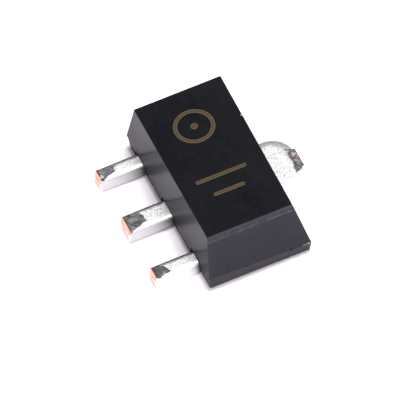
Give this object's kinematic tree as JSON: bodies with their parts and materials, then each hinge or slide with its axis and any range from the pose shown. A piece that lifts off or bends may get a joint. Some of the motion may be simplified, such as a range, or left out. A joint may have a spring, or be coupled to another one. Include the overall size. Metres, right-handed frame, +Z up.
{
  "type": "surface-mount transistor",
  "caption": "Small power transistor in a flat moulded package, with straight solder leads along the front and a wide heat-sink tab at the back.",
  "frame": {"origin": "middle of the outline on the solder plane, the flat underside of the leads and the tab", "axes": "+X along the row of leads from the base lead to the emitter lead, +Y from the lead tips to the heat-sink tab, +Z up from the solder plane"},
  "size_m": [0.0044, 0.0042, 0.0015],
  "materials": {
    "mould_resin": "fine matte black epoxy with smoother side walls",
    "tin_plated_copper": "dull grainy tin plate, bare copper where the sheet was cut",
    "silicon": "polished grey silicon",
    "solder": "satin grey solder",
    "bond_wire": "bright drawn copper wire"
  },
  "bodies": {
    "root": {"mould_body": "mould_resin", "collector_tab": "tin_plated_copper", "base_lead": "tin_plated_copper", "emitter_lead": "tin_plated_copper", "transistor_die": "silicon", "die_attach_solder": "solder", "base_bond_wire": "bond_wire", "emitter_bond_wire": "bond_wire"}
  },
  "joints": []
}
